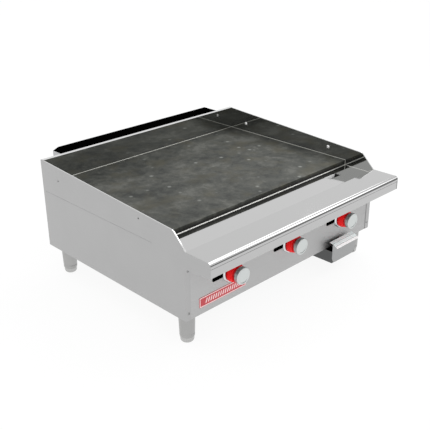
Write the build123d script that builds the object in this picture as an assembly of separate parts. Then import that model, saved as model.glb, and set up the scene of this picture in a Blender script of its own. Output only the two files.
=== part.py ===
from build123d import *
import os
from math import atan2, cos, hypot, sin

# Countertop gas griddle: a steel plate between three splash guards, on a folded stainless body
# with three burners, a front grease trough, a drain chute and a grease drawer on four legs.
#
# Everything is modelled in the body's frame: X = 0 on the centre line and to the right,
# Y = 0 on the front face of the body and to the back, Z = 0 on the underside of the body.
# save() then moves each piece to the part's frame, whose origin is at the middle of the
# overall length and width, on the surface that the feet stand on.

# ---------------------------------------------------------------- overall sizes
body_width = 914.4          # 36 inch class
body_depth = 720.0          # front of the body to its back
ledge_height = 230.0        # top of the front ledge above the body's underside
leg_height = 100.0          # worktop to the body's underside
ledge_overhang = 104.0      # how far the front ledge stands out over the controls
flue_depth = 48.0           # how far the flue box stands out behind the body

# ---------------------------------------------------------------- sheet and plate
sheet = 1.5                 # folded stainless body panels
splash_wall = 3.0           # polished splash guards, welded round the plate
plate_thickness = 19.05     # three-quarter inch griddle plate
support_bar = 8.0           # flat bars that carry the plate
pan_sheet = 1.2             # grease drawer
weld_gap = 0.5              # room left round panels that drop in between others
contact_gap = 0.3           # running gap between moving and fixed sheet metal

# ---------------------------------------------------------------- side outline
shoulder_rise = 50.5        # ledge up to where the top edge turns down at the front
rear_rise = 39.5            # shoulder up to the top of the splash guards at the back
shoulder_y = 48.0
shoulder_radius = 22.0
kink_y = -4.0               # where the slant meets the flat ledge
lip_drop = 48.0             # ledge down to the lower edge of its front lip
cap_drop = 56.0             # ledge down to where the end cap's lower edge meets the body
bullnose_radius = 12.0
cap_corner_radius = 4.0
flange_width = 20.0         # front and back return flanges of a side panel
foot_flange = 25.0          # bottom return flange of a side panel
seam_front = 143.0          # the pressed seam line runs from here to the back
seam_drop = 21.0            # ledge down to the seam line
seam_width = 1.6
seam_depth = 0.5

# ---------------------------------------------------------------- trough, plate and splash
trough_drop = 13.0          # ledge down to the trough's floor, on which the plate's front edge sits
trough_front = 16.0
plate_front = 118.6
plate_rear_gap = 15.0       # plate's back edge to the back of the body
plate_seat = 22.0           # how far the trough's floor runs back under the plate
lip_hem = 12.0              # hem folded in along the lower edge of the lip
rim_thickness = 6.0         # hemmed rim along the top of the back splash
support_height = 30.5
support_inset = 8.0         # from the plate's front and back edge to its support bar

# ---------------------------------------------------------------- controls
burner_inset = 183.2        # body's side to the outer burners' spacing from the middle one
burner_middle = 2.5         # the middle burner stands this far right of the centre line
burner_names = ["left", "centre", "right"]
knob_height = 100.0         # valve and knob axis above the body's underside
panel_drop = 17.0           # trough down to the top of the control panel
panel_flange = 25.0
stem_radius = 4.0
stem_fit = 0.05             # running clearance of a valve stem in its bore
stem_front = -49.0
stem_back = 48.0
panel_stem_hole = 12.0
bezel_radius = 37.0
bezel_front_radius = 34.0
bezel_height = 10.0
bezel_bore = 9.0
skirt_radius = 31.5
skirt_front_radius = 28.0
skirt_depth = 20.0
skirt_edge = 1.5
knob_gap = 1.5              # between the bezel's face and the turning skirt
neck_radius = 19.0
neck_depth = 9.0
grip_radius = 27.5
grip_depth = 14.0
grip_edge = 2.5
grip_dish = 1.0
pointer_width = 2.4
slot_length = 50.0
slot_height = 16.0
slot_offset = 53.0          # slot centre to the left of the knob's axis
slot_z = 95.5
screw_low = 24.0
screw_high = 164.0
flange_screw_inset = 11.4
badge_length = 198.0
badge_height = 34.0
badge_inset = 153.2         # body's left side to the badge's middle
badge_z = 39.0
badge_thickness = 1.2
badge_corner = 4.0

# ---------------------------------------------------------------- gas train and burners
pipe_radius = 13.35         # three-quarter inch pipe
pipe_wall = 2.85
manifold_y = 48.0
manifold_gap = 2.65         # between the manifold's top and the valves' blocks
manifold_overhang = 59.0    # left valve to the manifold's closed end
elbow_radius = 32.0
inlet_inset = 39.2          # body's right side to the inlet pipe's axis
inlet_start = 90.0
inlet_stub = 40.0           # inlet pipe behind the body
inlet_thread = 20.0         # length of the stub's threaded end
thread_relief = 0.25        # the thread's mean radius is this much under the pipe's
pipe_clearance = 1.65       # round the pipe where it leaves the back panel
front_clamp_y = 150.0
rear_clamp_gap = 160.0      # rear clamp to the back of the body
clamp_length = 12.0
valve_block = [26.0, 28.0, 24.0]
valve_spigot = 8.0
bonnet_radius = 11.0
bonnet_front = 6.0
hood_radius = 8.0
hood_length = 28.0
orifice_radius = 1.0
tube_radius = 16.0          # burner tube
tube_wall = 1.5
mixer_front = 84.0
mixer_bend = 115.0
burner_drop = 77.0          # trough down to the burner tubes' axis
burner_head = 165.0         # where the burner divides into its two legs
burner_rear_gap = 65.0      # burners' closed ends to the plate's back edge
leg_spread = 45.0
port_radius = 1.6
port_pitch = 25.0
pilot_radius = 3.0
pilot_y = 80.0
pilot_head_radius = 5.0
pilot_elbow = 4.5           # compression elbows of the pilot tube

# ---------------------------------------------------------------- burner chamber
shield_y = 100.0
shield_inset = 59.2         # body's side to the chamber's side shield
shield_gap = 3.5            # under the trough's sheet
chamber_floor_z = 40.0
mixer_hole = 21.0
rail_angle = 25.0

# ---------------------------------------------------------------- flue
flue_inset = 80.0           # body's side to the flue's end wall
flue_rise = 9.0             # splash guards' top up to the flue's top
flue_sill = 30.0            # flue's floor down from the exhaust opening
flue_chamfer = [22.0, 9.0]
flue_tab = 18.0
exhaust_inset = 17.2        # flue's end wall to the end of the exhaust opening
exhaust_drop = 7.0          # trough down to the top of the exhaust opening
exhaust_tall = 60.0

# ---------------------------------------------------------------- drain and grease drawer
drain_inset = 162.2         # body's right side to the drain hole's left edge
drain_length = 63.0
drain_front = 67.0
drain_back = 94.0
drain_exit_length = 40.0
drain_exit_z = -5.0
drain_flange = 7.0
drawer_inset = 116.2        # body's right side to the drawer's right side
drawer_width = 131.0
drawer_front_y = -25.0
drawer_bottom = -50.0
drawer_top = -6.0
drawer_back = 330.0
drawer_corner = 18.0
runner_width = 10.0         # lips folded out along the top of the pan
runner_front = 30.0
rail_back = 345.0
rail_foot = 15.0
pull_top = 26.0             # top of the folded pull above the body's underside
pull_inset = 3.0
pull_folds = [(17.0, 0.0), (3.0, -2.5), (-9.0, -8.0), (-16.0, -14.0)]   # from the face and the pull's top

# ---------------------------------------------------------------- legs and feet
leg_inset = 40.0
leg_front_y = 42.0
leg_rear_gap = 58.0         # rear legs' axis to the back of the body
leg_top_radius = 26.0
leg_foot_radius = 23.5
foot_height = 20.0
leg_wall = 3.0
leg_cap = 6.0
leg_base = 8.0
foot_radius = 21.5
foot_round = 10.0
edge_break = 2.0            # turned edges of the legs
foot_stem_radius = 6.0
foot_stem_top = -35.0
foot_stem_fit = 0.05
leg_bolt_radius = 5.0

# ---------------------------------------------------------------- fasteners
splash_screw_front = 200.0
splash_screw_gap = 83.0     # rear splash screws to the plate's back edge
splash_screw_rise = 38.0    # above the ledge
splash_screw_radius = 2.5
splash_dome = 6.5
dome_height = 3.0
pan_head = 4.5
pan_head_height = 2.5
small_screw = 2.0
screw_gap = 0.25            # clearance holes are this much larger in radius
flue_screw_low = 30.0       # above the flue's floor
flue_screw_high = 170.0

# ---------------------------------------------------------------- worked out from the above
half = body_width / 2
inside = half - sheet
shoulder_height = ledge_height + shoulder_rise
rear_height = shoulder_height + rear_rise
lip_bottom = ledge_height - lip_drop
lip_root = ledge_height - cap_drop
seam_height = ledge_height - seam_drop
trough_height = ledge_height - trough_drop
plate_top = trough_height + plate_thickness
plate_rear = body_depth - plate_rear_gap
support_bottom = trough_height - sheet - support_height
panel_face = sheet
panel_back = 2 * sheet
splash_face = inside - splash_wall
back_inner = body_depth - 2 * sheet
flue_back = body_depth + flue_depth
part_y = -(flue_back - ledge_overhang) / 2
panel_top = trough_height - panel_drop
burner_pitch = half - burner_inset
burner_x = [burner_middle - burner_pitch, burner_middle, burner_middle + burner_pitch]
burner_height = trough_height - burner_drop
burner_end = plate_rear - burner_rear_gap
badge_x = badge_inset - half
pipe_bore = pipe_radius - pipe_wall
pipe_hole = pipe_radius + pipe_clearance
inlet_thread_radius = pipe_radius - thread_relief
inlet_x = half - inlet_inset
manifold_z = knob_height - valve_block[2] / 2 - pipe_radius - manifold_gap
manifold_end = burner_x[0] - manifold_overhang
clamp_places = [front_clamp_y, body_depth - rear_clamp_gap]
shield_x = half - shield_inset
shield_top = trough_height - sheet - shield_gap
side_shield_top = support_bottom - weld_gap
flue_half = half - flue_inset
flue_top = rear_height + flue_rise
exhaust_half = flue_half - exhaust_inset
exhaust_high = trough_height - exhaust_drop
exhaust_low = exhaust_high - exhaust_tall
flue_bottom = exhaust_low - flue_sill
drain_left = half - drain_inset
drain_right = drain_left + drain_length
drain_exit_right = drain_left + drain_exit_length
drawer_right = half - drawer_inset
drawer_left = drawer_right - drawer_width
rail_front = panel_back + panel_flange
leg_rear_y = body_depth - leg_rear_gap
leg_length = leg_height - foot_height
splash_screw_places = [splash_screw_front, plate_rear - splash_screw_gap]
splash_screw_z = ledge_height + splash_screw_rise
splash_hole = splash_screw_radius + screw_gap
small_hole = small_screw + screw_gap
leg_bolt_hole = leg_bolt_radius + screw_gap


# ---------------------------------------------------------------- helpers
def save(node, shape):
    """Moves a finished piece to the part's frame and writes it as parts/NODE.step."""
    moved = Pos(0, part_y, leg_height) * shape
    moved.label = node
    export_step(moved, "parts/" + node + ".step")


def block(x0, x1, y0, y1, z0, z1):
    """A box between two corners."""
    return Pos(x0, y0, z0) * Box(x1 - x0, y1 - y0, z1 - z0, align=(Align.MIN, Align.MIN, Align.MIN))


def rod(start, end, radius):
    """A round bar between two points."""
    axis = Vector(*end) - Vector(*start)
    base = Plane(origin=start, z_dir=axis)
    return extrude(base * Circle(radius), amount=axis.length)


def mirrored(shape):
    """The same piece on the other side of the centre line."""
    return mirror(shape, about=Plane.YZ)


def across(profile, x0, x1):
    """Extrudes a side-view profile (Y, Z) from x0 to x1."""
    return extrude(Plane.YZ.offset(x0) * profile, amount=x1 - x0)


def rounded(profile, corners):
    """Rounds the corners of a flat profile that lie nearest to the given points."""
    for (u, v, radius) in corners:
        corner = profile.vertices().sort_by_distance((u, v, 0))[0]
        profile = fillet(corner, radius)
    return profile


def turned(points, axis_plane):
    """Spins a half profile of (radius, height) points about the axis of a plane."""
    outline = make_face(Polyline(*[(r, 0, h) for (r, h) in points], close=True))
    return axis_plane.location * revolve(outline, axis=Axis.Z)


def facing_front(x, y, z):
    """A plane at a point whose normal looks out of the front of the body."""
    return Plane(origin=(x, y, z), x_dir=(1, 0, 0), z_dir=(0, -1, 0))


def group(solids):
    """Like pieces that share one node, each still a solid of its own."""
    return Compound(solids)


# ---------------------------------------------------------------- body panels
def side_outline():
    """Side view of the body: back, sloping top edge, slanted shoulder, ledge and lip."""
    outline = Polygon(
        (0, 0),
        (body_depth, 0),
        (body_depth, rear_height),
        (shoulder_y, shoulder_height),
        (kink_y, ledge_height),
        (-ledge_overhang, ledge_height),
        (-ledge_overhang, lip_bottom),
        (0, lip_root),
        align=None,
    )
    return rounded(outline, [
        (shoulder_y, shoulder_height, shoulder_radius),
        (-ledge_overhang, ledge_height, bullnose_radius),
        (-ledge_overhang, lip_bottom, cap_corner_radius),
    ])


def left_side_panel():
    """One folded sheet: the side, its end cap for the ledge, and three return flanges."""
    panel = across(side_outline(), -half, -inside)
    panel += block(-half, -half + flange_width, 0, sheet, 0, lip_root)
    panel += block(-half, -half + foot_flange, panel_back, body_depth, 0, sheet)
    panel += block(-half, -half + flange_width, body_depth - sheet, body_depth,
                   0, rear_height - 2 * rim_thickness)
    panel -= block(-half, -half + seam_depth, seam_front, plate_rear,
                   seam_height - seam_width / 2, seam_height + seam_width / 2)
    for y in splash_screw_places:
        panel -= rod((-half, y, splash_screw_z), (-inside, y, splash_screw_z), splash_hole)
    for z in (screw_low, screw_high):
        x = -half + flange_screw_inset
        panel -= rod((x, 0, z), (x, sheet, z), small_hole)
    return panel


def left_splash():
    """Polished guard welded to the plate's edge: it follows the side outline down to the trough."""
    outline = Polygon(
        (trough_front, trough_height),
        (body_depth, trough_height),
        (body_depth, rear_height),
        (shoulder_y, shoulder_height),
        (kink_y, ledge_height),
        align=None,
    )
    outline = rounded(outline, [(shoulder_y, shoulder_height, shoulder_radius)])
    guard = across(outline, -inside, -splash_face)
    guard -= block(-inside, -splash_face, plate_rear, body_depth, 0, rear_height)
    for y in splash_screw_places:
        guard -= rod((-inside, y, splash_screw_z), (-splash_face, y, splash_screw_z), splash_hole)
    return guard


def back_splash():
    """Polished guard behind the plate, with a flat folded rim along its top."""
    guard = block(-inside, inside, plate_rear, plate_rear + splash_wall, trough_height, rear_height)
    return guard + block(-inside, inside, plate_rear, body_depth, rear_height - rim_thickness, rear_height)


def griddle_plate():
    """Thick steel cooking plate that fills the space between the splash guards."""
    return block(-splash_face, splash_face, plate_front, plate_rear, trough_height, plate_top)


def grease_trough():
    """Flat-floored trough in front of the plate, with the rectangular drain hole."""
    floor = block(-inside, inside, kink_y, plate_front + plate_seat, trough_height - sheet, trough_height)
    return floor - block(drain_left, drain_right, drain_front, drain_back,
                         trough_height - sheet, trough_height)


def front_ledge():
    """Bent sheet: up from the trough, forward over the controls, round the bullnose and down."""
    slope = atan2(ledge_height - trough_height, trough_front - kink_y)
    inner_y = trough_front - sheet / sin(slope)
    bend_y = kink_y - sheet * (1 - cos(slope)) / sin(slope)
    profile = Polygon(
        (trough_front, trough_height),
        (kink_y, ledge_height),
        (-ledge_overhang, ledge_height),
        (-ledge_overhang, lip_bottom),
        (-ledge_overhang + lip_hem, lip_bottom),
        (-ledge_overhang + lip_hem, lip_bottom + sheet),
        (-ledge_overhang + sheet, lip_bottom + sheet),
        (-ledge_overhang + sheet, ledge_height - sheet),
        (bend_y, ledge_height - sheet),
        (inner_y, trough_height),
        align=None,
    )
    profile = rounded(profile, [
        (-ledge_overhang, ledge_height, bullnose_radius),
        (-ledge_overhang + sheet, ledge_height - sheet, bullnose_radius - sheet),
    ])
    return across(profile, -inside, inside)


def pilot_slot(x, y0, y1):
    """Round-ended slot through a front sheet, to the left of a knob."""
    middle = Plane(origin=(x - slot_offset, y0, slot_z), x_dir=(1, 0, 0), z_dir=(0, 1, 0))
    return extrude(middle * SlotOverall(slot_length, slot_height), amount=y1 - y0)


def control_panel():
    """Front sheet behind the side flanges, with knob holes, pilot slots and two folds."""
    panel = block(-inside + weld_gap, inside - weld_gap, panel_face, panel_back, 0, panel_top)
    panel += block(-half + foot_flange + weld_gap, half - foot_flange - weld_gap,
                   panel_face, panel_back + panel_flange, 0, sheet)
    panel += block(-inside + weld_gap, inside - weld_gap,
                   panel_face, panel_back + panel_flange / 2, panel_top - sheet, panel_top)
    for x in burner_x:
        panel -= rod((x, panel_face, knob_height), (x, panel_back, knob_height), panel_stem_hole)
        panel -= pilot_slot(x, panel_face, panel_back)
    for side in (-1, 1):
        for z in (screw_low, screw_high):
            x = side * (half - flange_screw_inset)
            panel -= rod((x, panel_face, z), (x, panel_back, z), small_hole)
    return panel


def back_panel():
    """Rear sheet inside the side flanges, open to the flue and drilled for the gas pipe."""
    top = rear_height - rim_thickness - weld_gap
    panel = block(-inside + weld_gap, inside - weld_gap, back_inner, back_inner + sheet, panel_back, top)
    panel -= block(-exhaust_half, exhaust_half, back_inner, back_inner + sheet, exhaust_low, exhaust_high)
    panel -= rod((inlet_x, back_inner, manifold_z), (inlet_x, back_inner + sheet, manifold_z), pipe_hole)
    for (x, z) in flue_screw_places():
        panel -= rod((x, back_inner, z), (x, back_inner + sheet, z), small_hole)
    return panel


def base_pan():
    """Bottom sheet that lies on the flanges, with a cut-out for the drain chute."""
    pan = block(-inside + weld_gap, inside - weld_gap, panel_back + weld_gap, back_inner - weld_gap,
                sheet, 2 * sheet)
    pan -= block(drain_left - drain_flange, drain_right + drain_flange,
                 drain_front - drain_flange, drain_back + drain_flange, sheet, 2 * sheet)
    for (x, y) in leg_places():
        pan -= rod((x, y, sheet), (x, y, 2 * sheet), leg_bolt_hole)
    return pan


def plate_support(y):
    """Flat bar on edge, welded between the side panels under the plate or the trough."""
    return block(-inside, inside, y, y + support_bar, support_bottom, trough_height - sheet)


# ---------------------------------------------------------------- burner chamber
def front_heat_shield():
    """Keeps the burner heat off the valves; the mixing tubes and pilots pass through it."""
    shield = block(-shield_x, shield_x, shield_y, shield_y + sheet, chamber_floor_z, shield_top)
    for x in burner_x:
        shield -= rod((x, shield_y, knob_height), (x, shield_y + sheet, knob_height), mixer_hole)
        shield -= pilot_slot(x, shield_y, shield_y + sheet)
    return shield


def left_heat_shield():
    """Side wall of the burner chamber, with a foot flange on the chamber floor."""
    shield = block(-shield_x, -shield_x + sheet, shield_y + sheet, back_inner - weld_gap,
                   chamber_floor_z, side_shield_top)
    shield += block(-shield_x, -shield_x + flange_width, shield_y + sheet, back_inner - weld_gap,
                    chamber_floor_z, chamber_floor_z + sheet)
    return shield


def chamber_floor():
    """Heat baffle under the burners, folded down along both sides on to the base."""
    floor = block(-shield_x, shield_x, shield_y, back_inner - weld_gap,
                  chamber_floor_z - sheet, chamber_floor_z)
    for x in (-shield_x, shield_x - sheet):
        floor += block(x, x + sheet, shield_y, back_inner - weld_gap, 2 * sheet, chamber_floor_z)
    return floor


def burner_rail():
    """Angle across the chamber that the burners' closed ends rest on."""
    top = burner_height - tube_radius
    x = shield_x - sheet
    y = burner_end - rail_angle
    rail = block(-x, x, y, y + rail_angle, top - sheet, top)
    return rail + block(-x, x, y, y + sheet, top - rail_angle, top)


def burner_body(x, radius, shorter):
    """Outer shape of a forked tube burner: mixing tube, rise, cross tube and two legs."""
    mouth = (x, mixer_front - shorter, knob_height)
    bend = (x, mixer_bend, knob_height)
    head = (x, burner_head, burner_height)
    body = rod(mouth, bend, radius) + Pos(*bend) * Sphere(radius)
    body += rod(bend, head, radius)
    body += rod((x - leg_spread, burner_head, burner_height),
                (x + leg_spread, burner_head, burner_height), radius)
    for side in (-leg_spread, leg_spread):
        body += Pos(x + side, burner_head, burner_height) * Sphere(radius)
        body += rod((x + side, burner_head, burner_height),
                    (x + side, burner_end - shorter, burner_height), radius)
    return body


def burner(x):
    """Hollow forked burner with a row of ports along the top of each leg."""
    tube = burner_body(x, tube_radius, 0) - burner_body(x, tube_radius - tube_wall, tube_wall)
    count = int((burner_end - burner_head) / port_pitch) - 1
    ports = []
    for side in (-leg_spread, leg_spread):
        for i in range(count):
            y = burner_head + (i + 1) * port_pitch
            ports.append(rod((x + side, y, burner_height),
                             (x + side, y, burner_height + 2 * tube_radius), port_radius))
    return tube - ports


# ---------------------------------------------------------------- gas train
def gas_manifold():
    """Pipe behind the control panel, tapped for three valves, that turns back at its right end."""
    corner = (inlet_x, manifold_y, manifold_z)
    path = FilletPolyline((manifold_end, manifold_y, manifold_z), corner, (inlet_x, inlet_start, manifold_z),
                          radius=elbow_radius)
    start = Plane(origin=path @ 0, z_dir=path % 0)
    pipe = sweep(start * Circle(pipe_radius), path=path)
    pipe -= sweep(start * Circle(pipe_bore), path=path)
    pipe += rod((manifold_end - sheet, manifold_y, manifold_z),
                (manifold_end, manifold_y, manifold_z), pipe_radius)
    for x in burner_x:
        pipe -= rod((x, manifold_y, manifold_z), (x, manifold_y, manifold_z + 2 * pipe_radius), valve_spigot)
    return pipe


def gas_inlet_pipe():
    """Pipe along the right side from the manifold's elbow to the stub behind the body."""
    end = (inlet_x, body_depth + inlet_stub, manifold_z)
    shoulder = (inlet_x, body_depth + inlet_stub - inlet_thread, manifold_z)
    pipe = rod((inlet_x, inlet_start, manifold_z), shoulder, pipe_radius)
    pipe += rod(shoulder, end, inlet_thread_radius)
    return pipe - rod((inlet_x, inlet_start, manifold_z), end, pipe_bore)


def pipe_clamps():
    """Two saddle blocks that stand on the base and carry the inlet pipe."""
    saddles = []
    for y in clamp_places:
        saddle = block(inlet_x - pipe_radius, inlet_x + pipe_radius, y, y + clamp_length,
                       2 * sheet, manifold_z)
        saddle -= rod((inlet_x, y, manifold_z), (inlet_x, y + clamp_length, manifold_z), pipe_radius)
        saddles.append(saddle)
    return group(saddles)


def valve(x):
    """Brass valve screwed into the manifold: block, spigot, front bonnet and stem bore."""
    wide, deep, tall = valve_block
    y0 = manifold_y - deep / 2
    body = block(x - wide / 2, x + wide / 2, y0, y0 + deep, knob_height - tall / 2, knob_height + tall / 2)
    body += rod((x, manifold_y, manifold_z + pipe_bore), (x, manifold_y, knob_height), valve_spigot)
    body += rod((x, bonnet_front, knob_height), (x, y0, knob_height), bonnet_radius)
    bore = stem_radius + stem_fit
    body -= rod((x, bonnet_front, knob_height), (x, stem_back + contact_gap, knob_height), bore)
    return body


def orifice_hoods():
    """Three brass hoods that spray gas into the mixing tubes."""
    hoods = []
    y0 = manifold_y + valve_block[1] / 2
    for x in burner_x:
        hood = rod((x, y0, knob_height), (x, y0 + hood_length, knob_height), hood_radius)
        hood -= rod((x, y0, knob_height), (x, y0 + hood_length - 2 * sheet, knob_height), hood_radius / 2)
        hood -= rod((x, y0, knob_height), (x, y0 + hood_length, knob_height), orifice_radius)
        hoods.append(hood)
    return group(hoods)


def pilot_line():
    """Small tube from the manifold with one riser and one pilot head beside each burner."""
    xs = [x - slot_offset for x in burner_x]
    feed_x = xs[-1] + 4 * pilot_head_radius
    slot_floor = slot_z - slot_height / 2 + pilot_elbow
    head_y = shield_y + 3 * pilot_head_radius
    line = rod((xs[0], pilot_y, manifold_z), (feed_x, pilot_y, manifold_z), pilot_radius)
    line += rod((feed_x, manifold_y + pipe_radius, manifold_z), (feed_x, pilot_y, manifold_z), pilot_radius)
    line += Pos(feed_x, pilot_y, manifold_z) * Sphere(pilot_elbow)
    for x in xs:
        line += Pos(x, pilot_y, manifold_z) * Sphere(pilot_elbow)
        line += rod((x, pilot_y, manifold_z), (x, pilot_y, slot_floor), pilot_radius)
        line += Pos(x, pilot_y, slot_floor) * Sphere(pilot_elbow)
        line += rod((x, pilot_y, slot_floor), (x, head_y, slot_floor), pilot_radius)
        line += rod((x, head_y, slot_floor - pilot_elbow),
                    (x, head_y, slot_floor + slot_height), pilot_head_radius)
    return line


# ---------------------------------------------------------------- knobs and trim
def knob_bezels():
    """Three pressed chrome rings round the knob shafts."""
    rings = []
    for x in burner_x:
        ring = turned([
            (bezel_bore, 0),
            (bezel_radius, 0),
            (bezel_radius, bezel_height / 2),
            (bezel_front_radius, bezel_height),
            (bezel_bore, bezel_height),
        ], facing_front(x, panel_face, knob_height))
        rings.append(ring)
    return group(rings)


def knob_skirt(x):
    """Red moulded skirt: a shallow cone behind the grip."""
    back = bezel_height + knob_gap
    front = back + skirt_depth
    return turned([
        (stem_radius, back),
        (skirt_radius - skirt_edge, back),
        (skirt_radius, back + skirt_edge),
        (skirt_radius, back + skirt_depth / 3),
        (skirt_front_radius, front - skirt_edge),
        (skirt_front_radius - skirt_edge, front),
        (stem_radius, front),
    ], facing_front(x, panel_face, knob_height))


def knob_grip(x):
    """Polished round grip on a narrow neck, with a dished face and a cut pointer line."""
    back = bezel_height + knob_gap + skirt_depth
    shoulder = back + neck_depth
    front = shoulder + grip_depth
    stem_end = panel_face - stem_front
    grip = turned([
        (stem_radius, back),
        (neck_radius, back),
        (neck_radius, shoulder),
        (grip_radius, shoulder),
        (grip_radius, front - grip_edge),
        (grip_radius - grip_edge, front),
        (grip_radius - 2 * grip_edge, front),
        (grip_radius - 3 * grip_edge, front - grip_dish),
        (0, front - grip_dish),
        (0, stem_end),
        (stem_radius, stem_end),
    ], facing_front(x, panel_face, knob_height))
    y_front = panel_face - front
    pointer = block(x - pointer_width / 2, x + pointer_width / 2, y_front, y_front + 2 * grip_dish,
                    knob_height + grip_radius / 3, knob_height + grip_radius)
    return grip - pointer


def valve_stem(x):
    """Shaft that carries the knob and turns in the valve."""
    return rod((x, stem_front, knob_height), (x, stem_back, knob_height), stem_radius)


def badge_plate():
    """Plain enamelled badge plate, low on the left of the control panel."""
    face = facing_front(badge_x, panel_face, badge_z)
    return extrude(face * RectangleRounded(badge_length, badge_height, badge_corner), amount=badge_thickness)


# ---------------------------------------------------------------- flue
def flue_screw_places():
    """Where the flue's side tabs are screwed to the back panel."""
    x = flue_half + flue_tab / 2
    heights = [flue_bottom + flue_screw_low, flue_bottom + flue_screw_high]
    return [(side * x, z) for side in (-1, 1) for z in heights]


def flue_box():
    """Open-topped duct behind the body: tall back wall with cut corners, lower end walls."""
    outline = Polygon(
        (-flue_half, flue_bottom),
        (flue_half, flue_bottom),
        (flue_half, flue_top - flue_chamfer[1]),
        (flue_half - flue_chamfer[0], flue_top),
        (flue_chamfer[0] - flue_half, flue_top),
        (-flue_half, flue_top - flue_chamfer[1]),
        align=None,
    )
    rear = Plane(origin=(0, flue_back, 0), x_dir=(1, 0, 0), z_dir=(0, -1, 0))
    box = extrude(rear * outline, amount=sheet)
    box += block(-flue_half, flue_half, body_depth, flue_back, flue_bottom, flue_bottom + sheet)
    tab_top = rear_height - 2 * rim_thickness
    for side in (-1, 1):
        outer = side * flue_half
        inner = side * (flue_half - sheet)
        tab = side * (flue_half + flue_tab)
        box += block(min(outer, inner), max(outer, inner), body_depth, flue_back,
                     flue_bottom, flue_top - flue_chamfer[1])
        box += block(min(inner, tab), max(inner, tab), body_depth - sheet, body_depth, flue_bottom, tab_top)
    for (x, z) in flue_screw_places():
        box -= rod((x, body_depth - sheet, z), (x, body_depth, z), small_hole)
    return box


# ---------------------------------------------------------------- drain and drawer
def chute_shape(grow):
    """Tapered rectangular duct from the drain hole down to the drawer, grown by a wall."""
    wide = drain_right - drain_left
    deep = drain_back - drain_front
    exit_wide = drain_exit_right - drain_left
    y = (drain_front + drain_back) / 2
    top = Plane.XY.offset(trough_height - sheet) * Pos((drain_left + drain_right) / 2, y)
    low = Plane.XY.offset(drain_exit_z) * Pos((drain_left + drain_exit_right) / 2, y)
    return loft([
        low * Rectangle(exit_wide + 2 * grow, deep + 2 * grow),
        top * Rectangle(wide + 2 * grow, deep + 2 * grow),
    ])


def drain_chute():
    """Welded chute with a flange under the trough's floor."""
    top = trough_height - sheet
    flange = block(drain_left - drain_flange, drain_right + drain_flange,
                   drain_front - drain_flange, drain_back + drain_flange, top - sheet, top)
    return (chute_shape(sheet) + flange) - chute_shape(0)


def drawer_pan():
    """Folded pan with lips along its sides that run on the rails."""
    y0 = drawer_front_y + sheet
    pan = block(drawer_left, drawer_right, y0, drawer_back, drawer_bottom, drawer_top)
    pan -= block(drawer_left + pan_sheet, drawer_right - pan_sheet, y0 + pan_sheet, drawer_back - pan_sheet,
                 drawer_bottom + pan_sheet, drawer_top)
    for (x0, x1) in ((drawer_left - runner_width, drawer_left), (drawer_right, drawer_right + runner_width)):
        pan += block(x0, x1, runner_front, drawer_back, drawer_top - pan_sheet, drawer_top)
    return pan


def drawer_front():
    """Front plate with rounded lower corners and a folded pull along its top."""
    middle = (drawer_left + drawer_right) / 2
    under = pull_top + pull_folds[1][1] - sheet
    face = facing_front(middle, drawer_front_y + sheet, (drawer_bottom + under) / 2)
    outline = Rectangle(drawer_width, under - drawer_bottom)
    outline = rounded(outline, [
        (-drawer_width / 2, -(under - drawer_bottom) / 2, drawer_corner),
        (drawer_width / 2, -(under - drawer_bottom) / 2, drawer_corner),
    ])
    front = extrude(face * outline, amount=sheet)
    upper = [(drawer_front_y + y, pull_top + z) for (y, z) in pull_folds]
    lower = [(y, z - sheet) for (y, z) in reversed(upper)]
    pull = Polygon(*upper, *lower, align=None)
    return front + across(pull, drawer_left + pull_inset, drawer_right - pull_inset)


def right_drawer_rail():
    """Folded rail hung under the base; the pan's lip slides on its inner ledge."""
    web = drawer_right + runner_width + contact_gap
    ledge_top = drawer_top - pan_sheet - contact_gap
    rail = block(web, web + sheet, rail_front + weld_gap, rail_back, ledge_top - sheet, sheet)
    rail += block(web, web + rail_foot, rail_front + weld_gap, rail_back, 0, sheet)
    rail += block(drawer_right + contact_gap, web + sheet, rail_front + weld_gap, rail_back,
                  ledge_top - sheet, ledge_top)
    return rail


def left_drawer_rail():
    """The right rail mirrored about the middle of the drawer."""
    middle = (drawer_left + drawer_right) / 2
    return mirror(right_drawer_rail(), about=Plane.YZ.offset(middle))


# ---------------------------------------------------------------- legs and feet
def leg_places():
    """Plan positions of the four legs, front left first."""
    x = half - leg_inset
    return [(-x, leg_front_y), (x, leg_front_y), (-x, leg_rear_y), (x, leg_rear_y)]


def leg(x, y):
    """Tapered hollow leg with a thick base that the foot's stem screws into."""
    taper = (leg_top_radius - leg_foot_radius) / leg_length
    outer_low = leg_foot_radius
    cavity_top = leg_top_radius - leg_wall - taper * leg_cap
    cavity_low = leg_foot_radius - leg_wall + taper * leg_base
    shell = turned([
        (0, 0),
        (leg_top_radius, 0),
        (outer_low, -leg_length + edge_break),
        (outer_low - edge_break, -leg_length),
        (0, -leg_length),
    ], Plane((x, y, 0)))
    cavity = turned([
        (0, -leg_cap),
        (cavity_top, -leg_cap),
        (cavity_low, -leg_length + leg_base),
        (0, -leg_length + leg_base),
    ], Plane((x, y, 0)))
    shell -= cavity
    shell -= rod((x, y, -leg_length), (x, y, -leg_length + leg_base), foot_stem_radius + foot_stem_fit)
    return shell - rod((x, y, -leg_cap), (x, y, 0), leg_bolt_hole)


def foot(x, y):
    """Levelling foot with a rounded sole; its stem screws up into the leg."""
    top = -leg_length - contact_gap
    sole = Pos(x, y, -leg_height) * Cylinder(foot_radius, top + leg_height,
                                             align=(Align.CENTER, Align.CENTER, Align.MIN))
    sole = fillet(sole.edges().sort_by(Axis.Z)[0], foot_round)
    return sole + rod((x, y, top), (x, y, foot_stem_top), foot_stem_radius)


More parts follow.
